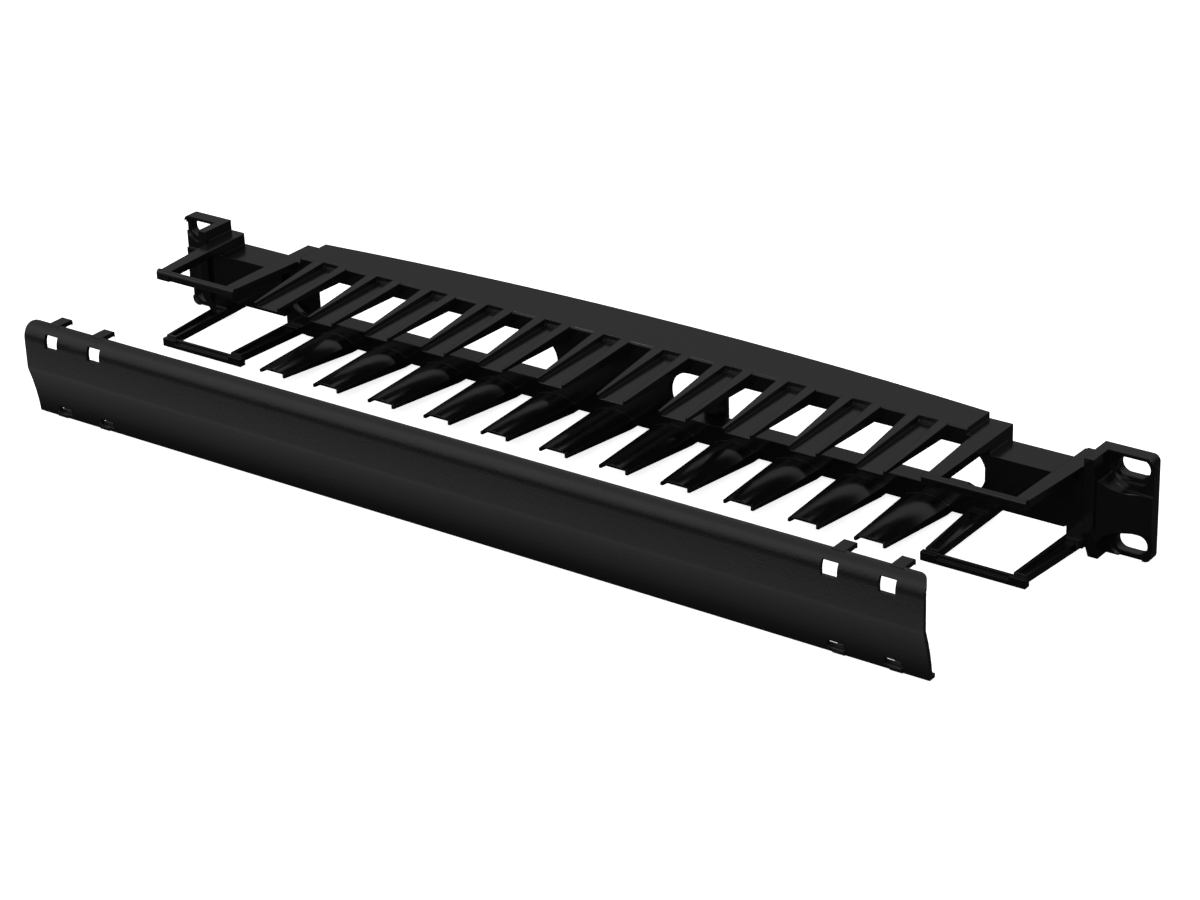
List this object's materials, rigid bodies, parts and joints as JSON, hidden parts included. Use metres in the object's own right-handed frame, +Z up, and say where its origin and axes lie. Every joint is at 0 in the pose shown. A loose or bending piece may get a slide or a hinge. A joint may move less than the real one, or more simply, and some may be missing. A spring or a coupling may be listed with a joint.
{
  "type": "horizontal cable manager",
  "caption": "One-unit rack cable manager: moulded finger duct with D-rings at both ends and a clip-on front cover, shown pulled off.",
  "frame": {"origin": "middle of the plane in which the ears' rear faces meet the rack rails", "axes": "+X to the right along the rack, -Y to the front, +Z up"},
  "size_m": [0.4826, 0.1441, 0.0436],
  "materials": {
    "black_abs": "satin"
  },
  "bodies": {
    "base": {"base": "black_abs"},
    "cover": {"cover": "black_abs"}
  },
  "joints": [
    {"name": "cover_pull", "type": "slide", "parent": "base", "child": "cover", "axis": [0, 1, 0], "range_m": [0, 0.0688]}
  ]
}
